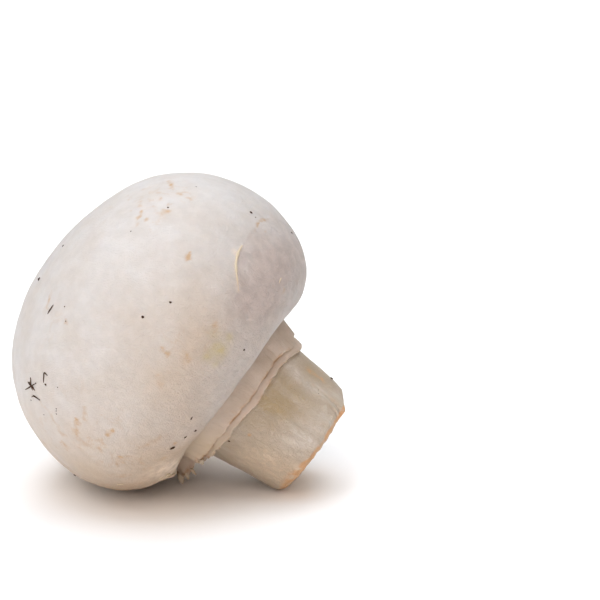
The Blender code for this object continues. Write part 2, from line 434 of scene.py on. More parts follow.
# Soft clouds and specks that break up an even colour.
def fillMottle(tree, given):
    scaled = vectorMaths(tree, "SCALE", given["Vector"], given["Scale"])
    clouds = mapRange(tree, noise(tree, scaled, 1.0, 4.0, 0.55)[0], 0.32, 0.68)
    specks = mapRange(tree, noise(tree, scaled, 9.0, 3.0, 0.65)[0], 0.3, 0.7)
    return {"Clouds": clouds, "Specks": specks}


# Browning where the flesh was rubbed or torn: a painted mask eaten into by noise, laid over the colour
# beneath.
def fillBrowning(tree, given):
    eaten = mapRange(tree, noise(tree, given["Vector"], 700.0, 4.0, 0.6)[0], 0.25, 0.68, 0.45, 1.25)
    share = mapRange(tree, maths(tree, "MULTIPLY", given["Mask"], eaten), given["Threshold"], 1.0)
    return {"Color": mixColour(tree, share, given["Color"], given["Tint"])}


def buildGroups():
    fibres = [("Grain", "Vector", None), ("Stretch", "Vector", (4, 4, 0.4)), ("Wander", "Float", 1.0)]
    mottle = [("Vector", "Vector", None), ("Scale", "Float", 200.0)]
    browning = [("Vector", "Vector", None), ("Mask", "Float", 0.0), ("Threshold", "Float", 0.1),
                ("Color", "Color", (1, 1, 1, 1)), ("Tint", "Color", (0.6, 0.4, 0.2, 1))]
    return {
        "fibres": nodeGroup("silkyFibres", fibres, [("Fibres", "Float")], fillFibres),
        "mottle": nodeGroup("fleshMottle", mottle, [("Clouds", "Float"), ("Specks", "Float")], fillMottle),
        "browning": nodeGroup("browning", browning, [("Color", "Color")], fillBrowning),
    }


def threads(tree, groups, stretch, wander):
    grain = layerValue(tree, "grain", "Vector")
    return useGroup(tree, groups["fibres"], grain=grain, stretch=stretch, wander=wander)["Fibres"]


def browned(tree, groups, place, colour, tint, threshold=0.1):
    return useGroup(tree, groups["browning"], vector=place, mask=layerValue(tree, "stain"),
                    threshold=threshold, color=colour, tint=tint)["Color"]


# Links the colour and the relief to the shader, and sets the rest from the finish.
def finishShader(tree, shader, finish, colour, relief=None):
    tree.links.new(colour, shader.inputs["Base Color"])
    if relief is not None:
        strength, distance = finish["relief"]
        inputs = {"Strength": strength, "Distance": distance, "Height": relief}
        lumps = addNode(tree, "ShaderNodeBump", inputs)
        tree.links.new(lumps.outputs[0], shader.inputs["Normal"])
    shader.inputs["Roughness"].default_value = finish["roughness"]
    shader.inputs["Specular IOR Level"].default_value = finish["gloss"]
    shader.inputs["Subsurface Weight"].default_value = finish["subsurface"]
    shader.inputs["Subsurface Radius"].default_value = (1.0, 0.65, 0.45)
    shader.inputs["Subsurface Scale"].default_value = finish["reach"]


# Stretch and wander shape the silky fibres, and mottle and fine are the numbers of spots to a metre.
# The relief is the bump's strength and its height in metres, and the reach is how far light goes in, in
# metres.
skinFinish = {
    # grey is the colour of the peeled skin and of the painted shade
    "pale": (0.64, 0.617, 0.603, 1), "pink": (0.606, 0.564, 0.53, 1), "greyAndShade": (0.555, 0.465, 0.425, 1),
    # warm is the colour of the painted warm shade on the cap, and of the specks on lifted flakes
    "tan": (0.545, 0.375, 0.235, 1), "bruise": (0.56, 0.47, 0.26, 1), "warmTintAndShading": (0.585, 0.435, 0.298, 1),
    # cream is the torn skin's colour, also used as painted light at the margin's torn corner
    "cream": (0.94, 0.78, 0.63, 1), "flake": (0.70, 0.57, 0.41, 1),
    "roughness": 0.56, "gloss": 0.35, "subsurface": 0.25, "reach": 0.0012, "relief": (0.9, 0.00018),
    "mottle": 150.0, "fine": 650.0, "stretch": (2.8, 2.8, 0.6), "wander": 2.0, "flecks": 0.62,
}


def capSkin(groups):
    material, tree, shader = newMaterial("capSkin")
    place, greyAndPaintedShade = objectPlace(tree), layerValue(tree, "greyAndPaintedShade")
    mottle = useGroup(tree, groups["mottle"], vector=place, scale=skinFinish["mottle"])
    fine = useGroup(tree, groups["mottle"], vector=place, scale=skinFinish["fine"])
    fibres = threads(tree, groups, skinFinish["stretch"], skinFinish["wander"])
    silk = maths(tree, "MULTIPLY", fibres, layerValue(tree, "silk"))
    colour = mixColour(tree, mottle["Clouds"], skinFinish["pale"], skinFinish["pink"])
    # painted warm shade and bounce light on the lower skin
    colour = mixColour(tree, layerValue(tree, "warmthAndPaintedShading"), colour, skinFinish["warmTintAndShading"])
    # grey peeled skin, and painted shade
    colour = mixColour(tree, greyAndPaintedShade, colour, skinFinish["greyAndShade"])
    rough = maths(tree, "MULTIPLY", fine["Clouds"], mapRange(tree, greyAndPaintedShade, 0.0, 0.8, 0.06, 0.16))
    dark = maths(tree, "ADD", rough, maths(tree, "MULTIPLY", silk, 0.07))
    shade = maths(tree, "SUBTRACT", 1.06, dark)
    tone = addNode(tree, "ShaderNodeCombineColor", {0: shade, 1: shade, 2: shade}).outputs[0]
    colour = mixColour(tree, 1.0, colour, tone, "MULTIPLY")
    colour = mixColour(tree, layerValue(tree, "bruise"), colour, skinFinish["bruise"])
    flecks = mapRange(tree, noise(tree, place, 420.0, 4.0, 0.7, 0.8)[0], 0.54, 0.66)
    flecks = maths(tree, "MULTIPLY", flecks, layerValue(tree, "fleckZone"))
    colour = mixColour(tree, maths(tree, "MULTIPLY", flecks, skinFinish["flecks"]), colour, skinFinish["tan"])
    colour = browned(tree, groups, place, colour, skinFinish["tan"], 0.05)
    # cream torn skin, also painted light at the margin's torn corner
    colour = mixColour(tree, layerValue(tree, "peel"), colour, skinFinish["cream"])
    silk, specks = maths(tree, "MULTIPLY", silk, 0.7), maths(tree, "MULTIPLY", fine["Specks"], 0.3)
    finishShader(tree, shader, skinFinish, colour, maths(tree, "ADD", silk, specks))
    return material


veilFinish = {
    "pale": (0.618, 0.51, 0.43, 1), "shade": (0.515, 0.41, 0.325, 1), "tan": (0.42, 0.25, 0.13, 1),
    # warm is the colour of the painted warm light on the veil, and of the tatters' tint
    "warmTintAndShading": (0.685, 0.56, 0.42, 1),
    "roughness": 0.66, "gloss": 0.35, "subsurface": 0.3, "reach": 0.001, "relief": (0.5, 0.00008),
    "mottle": 260.0, "stretch": (5, 5, 0.5), "wander": 1.0,
}


def veilFlesh(groups):
    material, tree, shader = newMaterial("veilFlesh")
    place = objectPlace(tree)
    mottle = useGroup(tree, groups["mottle"], vector=place, scale=veilFinish["mottle"])
    fibres = threads(tree, groups, veilFinish["stretch"], veilFinish["wander"])
    colour = mixColour(tree, mottle["Clouds"], veilFinish["pale"], veilFinish["shade"])
    colour = mixColour(tree, maths(tree, "MULTIPLY", fibres, 0.25), colour, veilFinish["shade"])
    # painted warm light on the veil's lower side, and a flat warm tint on the tatters
    colour = mixColour(tree, layerValue(tree, "warmthAndPaintedShading"), colour, veilFinish["warmTintAndShading"])
    colour = browned(tree, groups, place, colour, veilFinish["tan"])
    finishShader(tree, shader, veilFinish, colour, fibres)
    return material


stemFinish = {
    "pale": (0.585, 0.505, 0.42, 1), "cream": (0.475, 0.385, 0.29, 1), "oliveAndShade": (0.44, 0.335, 0.20, 1),
    # low is the colour of the painted warm light on the stem's lower side
    "ochre": (0.64, 0.37, 0.19, 1), "streak": (0.69, 0.63, 0.565, 1), "low": (0.72, 0.57, 0.42, 1),
    "roughness": 0.5, "gloss": 0.3, "subsurface": 0.3, "reach": 0.0012, "relief": (0.8, 0.0001),
    "mottle": 220.0, "stretch": (4.6, 4.6, 0.45), "wander": 2.2,
    "wideStretch": (1.1, 1.1, 0.24), "wideWander": 3.0,
}


def stemFlesh(groups):
    material, tree, shader = newMaterial("stemFlesh")
    place = objectPlace(tree)
    mottle = useGroup(tree, groups["mottle"], vector=place, scale=stemFinish["mottle"])
    fibres = threads(tree, groups, stemFinish["stretch"], stemFinish["wander"])
    wide = threads(tree, groups, stemFinish["wideStretch"], stemFinish["wideWander"])
    wide = maths(tree, "MULTIPLY", wide, 0.6)
    colour = mixColour(tree, mottle["Clouds"], stemFinish["pale"], stemFinish["cream"])
    colour = mixColour(tree, maths(tree, "MULTIPLY", fibres, 0.7), colour, stemFinish["cream"])
    colour = mixColour(tree, layerValue(tree, "white"), colour, stemFinish["streak"])
    # painted warm light on the stem's lower side
    colour = mixColour(tree, layerValue(tree, "low"), colour, stemFinish["low"])
    colour = mixColour(tree, wide, colour, stemFinish["cream"])
    uneven = maths(tree, "ADD", 0.55, maths(tree, "MULTIPLY", fibres, 0.6))
    # olive stains, partly painted shade under the veil's lip
    oliveAndShade = maths(tree, "MULTIPLY", layerValue(tree, "oliveAndShade"), uneven)
    colour = mixColour(tree, oliveAndShade, colour, stemFinish["oliveAndShade"])
    colour = browned(tree, groups, place, colour, stemFinish["ochre"])
    finishShader(tree, shader, stemFinish, colour, maths(tree, "ADD", fibres, wide))
    return material


capLook = {
    "columns": 440, "rows": 206, "lastTurn": 265.0,
    # painted warm shade on the underside and towards the margin, where the cap lies in shade: angle and width,
    # turn and width in degrees, strength
    "paintedWarmShadeZones": ((108, 25, 102, 25, 0.6), (62, 28, 112, 38, 0.24), (38, 26, 158, 28, 0.4)),
    # the same for painted grey shade towards the lower margin, where the cap lies in shade
    "paintedGreyShadeZones": ((158, 26, 126, 24, 0.75), (130, 20, 115, 22, 0.3)),
    # round stains: turn and angle in degrees, size in millimetres, strength
    "stains": ((107, 59.3, 0.55, 1), (54.7, 174.2, 0.5, 0.6), (56.7, 166.2, 0.6, 0.5),
               (46.4, 156.8, 0.4, 0.5), (60.2, 148.8, 0.9, 0.55), (52.3, 162.7, 0.6, 0.35),
               (55, 150, 1.2, 0.3), (137.5, 151.6, 0.4, 0.6), (140, 72.5, 0.5, 0.9), (59, 149.8, 0.61, 0.68),
               (57.4, 148, 0.55, 0.46), (54.8, 143.4, 0.4, 0.74), (60, 154, 0.4, 0.68), (49, 88, 0.4, 1),
               (33, 158, 0.4, 0.61), (108, 119, 0.44, 0.81), (88, 103, 0.4, 0.68), (97, 93.5, 0.99, 0.41),
               (89.5, 68, 0.62, 1), (89.4, 66.8, 0.4, 0.8), (79, 62, 0.55, 0.74), (80.5, 57.6, 0.55, 0.68),
               (80.5, 46, 0.77, 0.47), (74, 28, 1.1, 0.68), (91, 58, 0.77, 0.47), (106, 58, 0.44, 1),
               (108.4, 57, 0.55, 0.94), (96, 52, 0.55, 0.54), (118, 48, 0.88, 0.61), (133, 56, 0.88, 0.54),
               (140, 63, 0.55, 0.68), (149, 54, 0.66, 0.81), (145, 39, 0.99, 0.81), (102.3, 164.3, 0.4, 0.68),
               (132, 147, 0.44, 0.68), (141, 151, 0.55, 0.47), (78, 134.4, 0.5, 0.94), (84, 215, 0.77, 0.68),
               (66, 250, 0.99, 0.54), (101, 236, 0.66, 0.68), (112, 300, 0.88, 0.81), (48, 310, 0.88, 0.68),
               (92, 285, 0.55, 0.94), (72, 330, 1.1, 0.81), (104, 345, 1.1, 0.81), (120, 262, 0.77, 0.68),
               (58, 205, 0.66, 0.54), (130, 225, 0.88, 0.68)),
    # drawn-out stains: the turn and angle of both ends, width in millimetres, strength
    "strokes": ((54.4, 175, 56.8, 167, 0.42, 0.78), (57, 166.6, 59, 163.5, 0.38, 0.62),
                (59, 163.5, 67, 159.5, 0.4, 0.59), (56.6, 161, 55.6, 161, 0.34, 0.54),
                (46.7, 155.5, 48, 152, 0.36, 0.7), (50, 148, 51, 145, 0.36, 0.7),
                (45, 148.5, 46, 145, 0.34, 0.46), (50.2, 144.6, 52.4, 138.6, 0.34, 0.43),
                (49.5, 158, 50.4, 156.6, 0.44, 0.39), (54, 158.4, 55, 156, 0.44, 0.43),
                (31.7, 90, 37.6, 78, 0.4, 0.54), (61, 51.6, 66.8, 53.3, 0.36, 0.45),
                (66.8, 53.3, 71.1, 51.5, 0.36, 0.42), (71, 51.5, 75.5, 52.4, 0.36, 0.45),
                (77.3, 135.4, 77.9, 132.6, 0.34, 0.8), (107.5, 59.4, 114, 62, 0.36, 0.65),
                (106.1, 57, 109.6, 54.8, 0.4, 0.6), (116, 68, 124.5, 75.7, 0.7, 0.4),
                (77, 69, 81, 64, 0.44, 0.46), (78, 62.5, 81, 56, 0.44, 0.62),
                (96.3, 160.5, 95, 164, 0.4, 0.62), (95, 164, 96.6, 169, 0.4, 0.62),
                (96.6, 169, 101, 172.5, 0.44, 0.46), (101.5, 105.3, 106.5, 104.3, 0.4, 0.7),
                (88, 102.9, 91, 102.4, 0.38, 0.78), (92, 94.2, 99, 93, 0.44, 0.46),
                (108, 120, 111, 116, 0.44, 0.46), (139, 62, 150, 58, 0.44, 0.54),
                (146, 52, 160, 44, 0.44, 0.7), (150, 44, 163, 36, 0.44, 0.7), (140, 40, 156, 34, 0.49, 0.7),
                (156, 50, 168, 34, 0.44, 0.62), (120, 62, 128, 58, 0.44, 0.46)),
    # skin torn back to its cream underside, also painted light at the margin's torn corner, where the skin
    # faces down into shade: turn, angle, size, strength
    "tornSkinAndPaintedLight": ((178, 24, 2.4, 1.0), (173, 33, 2.8, 1.0), (166, 42, 2.8, 1.0), (158, 50, 2.6, 0.85),
                 (150, 54, 2.4, 0.7), (160, 34, 2.4, 0.7), (144, 50, 2.2, 0.45), (93, 145.6, 0.6, 0.6)),
    # the same for bruises, and for zones of fine tan flecks
    "bruises": ((121, 113, 1.3, 0.9), (117, 110, 0.9, 0.75), (124, 118, 0.8, 0.6), (113, 116, 1.2, 0.35),
                (125, 109, 0.8, 0.5), (97, 243, 1.6, 0.4)),
    "fleckZones": ((82, 45, 5.0, 1.0), (56, 150, 3.5, 1.0), (58, 163, 3.0, 0.8), (42, 160, 4.0, 0.5),
                   (84, 62, 5.5, 0.9), (100, 108, 5.0, 0.5), (140, 46, 6.0, 1.0), (116, 55, 5.0, 0.8),
                   (100, 35, 7.0, 0.9), (40, 80, 6.0, 0.25), (95, 250, 8.0, 0.7), (60, 300, 7.0, 0.7),
                   (120, 200, 5.0, 0.4), (110, 310, 8.0, 0.8)),
    # a strip of skin peeled up across a meridian, as angle and turn: the skin beyond it is thinner and greyer
    "peel": ((133.8, 108.4), (136.8, 103.4), (138.9, 99.6), (141.4, 96.4), (144.4, 94.2), (147, 93.4),
             (150, 93.6)),
    "crease": ((61, 51.8), (67, 51.2), (71, 51), (75, 51.8), (84, 50), (90, 50)),
    # low lumps all over: size in millimetres, layers, height in millimetres, seed
    "lumps": ((9, 1, 0.15, 3), (4, 1, 0.065, 4), (1.6, 3, 0.024, 5)),
    # single dents and swellings: turn, angle, size and height in millimetres
    "dents": ((97, 152, 3.0, -0.12), (72, 96, 4.5, 0.09), (64, 120, 5.0, -0.08), (100, 118, 2.6, -0.07),
              (88, 92, 2.2, 0.05), (58, 72, 3.5, 0.09), (108, 84, 4.0, -0.09), (121, 113, 1.5, -0.05),
              (112, 70, 2.5, 0.06), (84, 70, 2.0, -0.05), (126, 98, 2.2, 0.06), (132, 128, 2.5, 0.06),
              (118, 158, 1.8, 0.05), (92, 176, 3.0, -0.07)),
}


def onCap(turnDegrees, angleDegrees):
    return capBase(np.radians(np.atleast_1d(turnDegrees)), np.radians(np.atleast_1d(angleDegrees)))


# Three noises that push points about, so that what is painted by distance gets an uneven outline.
def drift(points, size, seed):
    return np.stack([layeredNoise(points, size, 2, seed + n) for n in (100, 200, 300)], axis=-1)


# Soft round patches: each falls off with distance from its centre, and noise frays it.
def patches(points, spots, seed, fray=0.9):
    total = np.zeros(points.shape[:-1])
    frayed = 1 + fray * softNoise(points, 0.9, seed)
    points = points + 0.55 * fray * drift(points, 1.3, seed)
    for turn, angle, size, strength in spots:
        away = np.linalg.norm(points - onCap(turn, angle)[0], axis=-1)
        total = np.maximum(total, strength * np.exp(-(away / size) ** 2) * frayed)
    return np.clip(total, 0, 1)


# The same for drawn-out patches.
def strokes(points, ends, seed):
    total = np.zeros(points.shape[:-1])
    frayed = 1 + 0.9 * softNoise(points, 0.7, seed)
    points = points + 0.3 * drift(points, 0.9, seed)
    for firstTurn, firstAngle, lastTurn, lastAngle, width, strength in ends:
        away = fromLine(points, ((firstTurn, firstAngle), (lastTurn, lastAngle)))
        total = np.maximum(total, strength * np.exp(-(away / width) ** 2) * frayed)
    return np.clip(total, 0, 1)


# Distance from a line on the cap.
def fromLine(points, line):
    spots = onCap(*np.array(line).T)
    nearest = np.full(points.shape[:-1], np.inf)
    for start, end in zip(spots, spots[1:]):
        span = end - start
        share = np.clip((points - start) @ span / (span @ span), 0, 1)
        nearest = np.minimum(nearest, np.linalg.norm(points - start - share[..., None] * span, axis=-1))
    return nearest


# Distance from the peeled strip, and 1 on the peeled skin beyond it, fading away from the strip.
def peelSides(points, turn, angle):
    line = np.array(capLook["peel"], float)
    away = fromLine(points, line[:, ::-1])
    degrees = np.degrees(angle) % 360
    edgeTurn = np.interp(degrees, line[:, 0], line[:, 1])
    beyond = ramp(np.degrees(turn) - edgeTurn, -0.6, 0.9)
    return away, beyond * ramp(degrees, 124, 135) * ramp(-degrees, -172, -150) * (1 - ramp(away, 3.0, 11.0))


# Height of the skin above the plain form: low lumps in three sizes, silk along the meridians, round dents, a
# crease, and the step beside the peeled strip.
def capDetail(points, turn, angle):
    degrees = np.degrees(turn)
    lumps = sum(rise * layeredNoise(points, size, layers, seed)
                for size, layers, rise, seed in capLook["lumps"])
    silk = 0.022 * softNoise(ringSpace(angle, 24.0, 9.0 * turn), 1.3, 6) * ramp(degrees, 40, 130)
    dents = sum(depth * np.exp(-(np.linalg.norm(points - onCap(t, a)[0], axis=-1) / size) ** 2)
                for t, a, size, depth in capLook["dents"])
    crease = 0.09 * np.exp(-(fromLine(points, capLook["crease"]) / 0.5) ** 2)
    away, inside = peelSides(points, turn, angle)
    frayed = away + 0.10 * softNoise(points, 0.7, 7)
    edge = 0.08 * np.exp(-(frayed / 0.30) ** 2) - 0.09 * inside * np.exp(-away / 2.2)
    wrinkles = 0.034 * layeredNoise(ringSpace(angle, 24.0, 5.0 * turn), 2.0, 2, 9) * hill(degrees, 138, 34)
    return lumps + silk + dents + wrinkles + edge - crease - capForm["inset"]


def capSurface(turn, angle):
    turn, angle = np.broadcast_arrays(turn, angle)
    step = 0.002
    base = capBase(turn, angle)
    down = capBase(turn + step, angle) - capBase(turn - step, angle)
    across = capBase(turn, angle + step) - capBase(turn, angle - step)
    return base + unit(np.cross(down, across)) * capDetail(base, turn, angle)[..., None]


def buildCap(groups):
    turn = evenTurns(capLook["rows"], math.radians(capLook["lastTurn"]))[:, None]
    angle = (np.arange(capLook["columns"]) * twoPi / capLook["columns"])[None, :]
    turn, angle = np.broadcast_arrays(turn, angle)
    base = capBase(turn, angle)
    inner = [stemPlace(angle[0], radius, height + 0 * angle[0]) for radius, height in capForm["closing"]]
    grid = np.concatenate([capSurface(turn, angle), np.array(inner)])

    def padded(values):
        return np.concatenate([values, values[-1:], values[-1:]])

    degrees = np.degrees(turn)
    under = -(base @ layDirections()[:, 2])  # how far down this part of the cap lies, from the middle of it
    # Painted warm shade and bounce light: the skin is made darker and warmer the lower it lies, below the
    # widest ring and in the listed zones; part of it is the skin's own tan.
    warmthAndPaintedShading = 0.88 * ramp(under, -15, 11) + 0.45 * ramp(degrees, 85, 150) * (0.3 + 0.7 * ramp(under, -16, 4))
    warmthAndPaintedShading = warmthAndPaintedShading + humps(angle, degrees, capLook["paintedWarmShadeZones"])
    warmthAndPaintedShading = warmthAndPaintedShading + 0.25 * ramp(degrees, 108, 140) * bump(angle, 102, 40)
    warmthAndPaintedShading = warmthAndPaintedShading * (0.85 + 0.35 * softNoise(base, 7, 8))
    peel, peeled = peelSides(base, turn, angle)
    # Grey: the thinner peeled skin beyond the strip, painted shade in the listed zones, and greyer towards the
    # margin.
    greyAndShade = 0.6 * peeled * (0.75 + 0.8 * softNoise(base, 2.2, 14))
    greyAndShade = greyAndShade + humps(angle, degrees, capLook["paintedGreyShadeZones"])
    bare = 0.35 * padded(np.exp(-(peel / 0.3) ** 2))
    layers = {
        "grain": ringSpace(padded(angle), 25.0, padded(runLength(base))),
        "stain": np.maximum(patches(grid, capLook["stains"], 11), strokes(grid, capLook["strokes"], 15)),
        "bruise": patches(grid, capLook["bruises"], 12, 0.7),
        "fleckZone": patches(grid, capLook["fleckZones"], 13, 0.3),
        "greyAndPaintedShade": padded(np.clip(greyAndShade + 0.25 * ramp(degrees, 95, 150), 0, 1)),
        "warmthAndPaintedShading": padded(np.clip(warmthAndPaintedShading, 0, 1)),
        # torn skin, with painted light at the margin's corner, and the cream line under the peeled strip
        "peel": np.maximum(patches(grid, capLook["tornSkinAndPaintedLight"], 10), bare),
        "silk": padded(0.35 + 0.65 * ramp(degrees, 60, 120)),
    }
    crown = capSurface(np.full(1, 1e-4), np.zeros(1))[0]
    inside = np.array(capForm["innerEnd"])
    return makeLathe("cap", grid, crown, inside, layers, slot="cap_skin", material=capSkin(groups))


# Columns round the stem, and rows in each stretch of the profile: groove, top, flap and its edge, gap, lip,
# back.
veilLook = {"columns": 900, "rows": (4, 22, 4, 3, 4, 8, 6, 4, 4, 3, 3, 3), "girth": 12.0}


# Rings between stations: each stretch between two neighbours is divided evenly into its number of rows.
def rowsBetween(stations, counts):
    rows = [start + (end - start) * step / count
            for start, end, count in zip(stations, stations[1:], counts) for step in range(count)]
    return np.array(rows + [stations[-1]])


# The veil by its profile at each angle: from the groove under the margin out along the top to the torn flap,
# back into the gap, out round the rolled lip and in to the stem.
def buildVeil(groups):
    angle = np.arange(veilLook["columns"]) * twoPi / veilLook["columns"]
    girth = veilLook["girth"]
    ring = ringSpace(angle, girth)
    layer, loose = veilForm["layer"], flapLoose(angle)
    jagged = layeredNoise(ring, 1.5, 5, 26)
    torn = bump(angle, 24, 30)  # the part of the ring that hangs in rags
    closed = bump(angle, 170, 19)  # here the layers lie against one another
    tear = tearHeight(angle) + (0.12 + 0.55 * torn) * layeredNoise(ring, 1.6, 5, 21)
    lip = lipHeight(angle) + (0.13 + 0.45 * torn) * layeredNoise(ring, 1.5, 5, 22)
    lip = lip + 0.07 * layeredNoise(ring, 0.5, 3, 27)
    groove = marginHeight(angle) + veilForm["grooveDepth"]
    topRadius = veilForm["topRadius"] + veilForm["flapTop"] * loose
    reach = veilForm["flapReach"] + 0.5 * ragged(angle, 4.0)
    tearRadius = veilForm["tearRadius"] + loose * (0.90 + 0.50 * jagged) * reach
    tearRadius = tearRadius + 0.12 * ragged(angle, 3.1) + 0.10 * jagged - 0.2 * closed
    lipRadius = veilForm["lipRadius"] + veilForm["flapLip"] * loose + 0.12 * ragged(angle, 5.2)
    plain = np.ones_like(angle)
    stations = [
        (veilForm["grooveRadius"] * plain, groove), (topRadius, groove - veilForm["topDrop"]),
        (tearRadius, tear + 0.25 * layer), (tearRadius - 0.15 * layer, tear),
        (tearRadius - 0.7 * layer, tear - 0.1 * layer),
        (lipRadius - 0.1 * layer + 0.5 * closed, tear + (1.7 - 1.5 * closed) * layer),
        (lipRadius + 0.15 * layer + 0.22 * closed, (tear + lip) / 2),
        (lipRadius + 0.25 * layer - 0.12 * closed, lip + 0.3 * layer),
        (lipRadius - 0.2 * closed, lip), (lipRadius - 0.8 * layer, lip),
        (9.7 * plain, lip + 0.8), (9.0 * plain, groove + 1.0), (13.0 * plain, groove + 1.0),
    ]
    profile = rowsBetween(np.array(stations), veilLook["rows"])
    radius, height = profile[:, 0], profile[:, 1]
    base = stemPlace(angle[None, :], radius, height)
    grain = ringSpace(angle[None, :], girth, height)
    folds = 0.05 * softNoise(ringSpace(angle[None, :], girth, height * 0.15), 0.9, 23)
    points = base + gridNormals(base) * (folds + 0.03 * layeredNoise(base, 1.2, 3, 24))[..., None]
    gap = ramp(tearRadius - radius, -0.12, 0.15) * ramp(radius - lipRadius, -0.4, 0.1)
    gap = gap * (1 - 0.7 * closed) * hill(height, tear + 0.35, 0.5)
    edge = hill(height, lip, 0.22) * ramp(radius - lipRadius, -0.6, 0.0)
    low = 0.3 * closed * hill(height, tear + 0.1, 0.9) * ramp(softNoise(grain, 0.5, 28), 0.1, 0.7)
    stain = np.clip(1.3 * gap + 0.5 * edge + low, 0, 1.2) * (0.75 + 0.7 * softNoise(grain, 2.2, 25))
    # Painted warm light: the veil's lower side, which lies in shade, is made lighter and warmer.
    warmthAndPaintedShading = np.broadcast_to(0.8 * bump(angle, 48, 24), radius.shape)
    layers = {"grain": grain.reshape(-1, 3), "stain": np.clip(stain, 0, 1).ravel(), "warmthAndPaintedShading": warmthAndPaintedShading.ravel()}
    quads, points = gridQuads(*radius.shape, loop=True), points.reshape(-1, 3)
    return makePiece("veil", points, quads, layers=layers, slot="veil", material=veilFlesh(groups))


stemLook = {
    "columns": 720, "rows": (6, 4, 70, 8, 8, 8, 6, 14, 10, 6), "girth": 10.0,
    # torn points of the rim: the angles of the start, the tip and the end, and the height in millimetres
    "points": ((172, 153.5, 151, 2.15), (150, 146, 144.5, 0.8), (242, 232, 229, 0.9)),
    # small brown spots: angle and width in degrees, height and width in millimetres, strength
    "spots": ((80, 2.2, 9.8, 0.35, 0.9), (167, 4, 5.4, 0.9, 0.7), (164, 5, 7.4, 1.4, 0.55)),
}


# How far the rim of the cut is rounded. Where flesh was torn out into a point it is hardly rounded: each
# point rises slowly from its start to its tip, and falls away quickly to its end.
def rimSize(angle):
    degrees = np.degrees(angle) % 360
    points = sum(size * np.interp(degrees, (end, tip, start), (0, 1, 0))
                 for start, tip, end, size in stemLook["points"])
    return stemForm["edge"] + stemForm["edgeMore"] * bump(angle, 180, 50) - points


def buildStem(groups):
    angle = np.arange(stemLook["columns"]) * twoPi / stemLook["columns"]
    plain = np.ones_like(angle)
    edge = rimSize(angle)
    topRadius, endRadius = stemForm["topRadius"], stemForm["endRadius"]
    ring = ringSpace(angle, 9.0)
    fringe = 0.09 * layeredNoise(ring, 0.9, 3, 31) * (0.5 + 0.7 * bump(angle, 135, 50))
    fringe = fringe + 0.10 * softNoise(ring, 3.1, 51)
    stations = [(radius * plain, height * plain) for radius, height in stemForm["inside"]]
    stations += [(topRadius * plain, lipHeight(angle) + 0.5), (endRadius + 0.05 * ragged(angle, 6.0), edge)]
    for turn in (math.radians(30), math.radians(60), math.radians(85)):  # round the rim
        inwards, up = 1 - math.cos(turn), 1 - math.sin(turn)
        stations.append((endRadius - edge * inwards + fringe, edge * up - fringe))
    for share, depth in stemForm["pithRings"]:  # across the cut to its sunk pith
        stations.append(((endRadius - edge) * share, stemForm["pith"] * depth * plain))
    profile = rowsBetween(np.array(stations), stemLook["rows"])
    radius, height = profile[:, 0], profile[:, 1]
    around, girth = angle[None, :], stemLook["girth"]
    base = stemPlace(around, radius, height)
    grain = ringSpace(around, girth, height)
    long = ringSpace(around, girth, height * 0.22)
    grooves = 0.045 * softNoise(ringSpace(around, girth, height * 0.12), 1.1, 32) * ramp(height, 0.3, 2.0)
    lumps = 0.10 * softNoise(base, 5.0, 33) + 0.03 * layeredNoise(base, 1.5, 3, 34)
    points = base + gridNormals(base) * (grooves + lumps)[..., None]
    rimWide = 0.45 + 0.95 * bump(around, 60, 24)
    rim = np.exp(-((height - 0.3) / rimWide) ** 2) * ramp(radius, 5.5, 6.8)
    rim = rim * (0.85 + 0.6 * softNoise(grain, 2.0, 35))
    face = 0.3 * ramp(height, 0.9, 0.2) * (1 + softNoise(grain, 3.0, 38)) * ramp(radius, 1.5, 5.0)
    # Olive stains; the patch just under the veil's lip is also painted shade from the lip.
    oliveAndShade = (0.85 * ramp(height, 3.0, 9.5) * bump(around, 127, 13)
             + 0.85 * hill(height, 10.0, 2.6) * bump(around, 110, 13)
             + 0.7 * hill(height, 7.8, 2.0) * bump(around, 165, 8)
             + 0.55 * ramp(height, 4.5, 10.5) * bump(around, 230, 35))
    oliveAndShade = oliveAndShade * (0.9 + 0.9 * softNoise(long, 1.6, 36))
    white = (0.9 * bump(around, 149, 6) * ramp(height, 2.0, 4.5)
             + 0.5 * ramp(softNoise(long, 2.4, 37), 0.15, 0.6)
             + 0.8 * bump(around, 95, 17) * hill(height, 4.0, 3.8)
             + 0.6 * bump(around, 132, 30) * ramp(height, 5.0, 2.2))
    white = white * (0.8 + 0.5 * softNoise(long, 1.2, 39))
    stain = rim + face + humps(around, height, stemLook["spots"])
    # Painted warm light: the lower side of the stem near its cut end, which lies in shade, is made lighter and
    # warmer.
    low = 0.9 * ramp(height, 12.0, 6.0) * bump(around, 58, 24)
    layers = {"stain": stain, "oliveAndShade": oliveAndShade, "white": white, "low": low}
    layers = {"grain": grain} | {layer: np.clip(values, 0, 1) for layer, values in layers.items()}
    inside, pith = np.array(stemForm["innerEnd"]), np.array([stemForm["pithMiddle"], 0, stemForm["pith"]])
    return makeLathe("stem", points, inside, pith, layers, slot="stem_flesh", material=stemFlesh(groups))


# Where a spot lies on the cap, with the directions outwards, towards the margin and round the cap.
def capSpot(turnDegrees, angleDegrees):
    turn, angle, step = math.radians(turnDegrees), math.radians(angleDegrees), 0.004
    place = capSurface(np.array([turn]), np.array([angle]))[0]
    here, below, beside = capBase(np.array([turn, turn + step, turn]), np.array([angle, angle, angle + step]))
    down = unit(below - here)
    normal = unit(np.cross(down, unit(beside - here)))
    return place, normal, down, np.cross(normal, down)


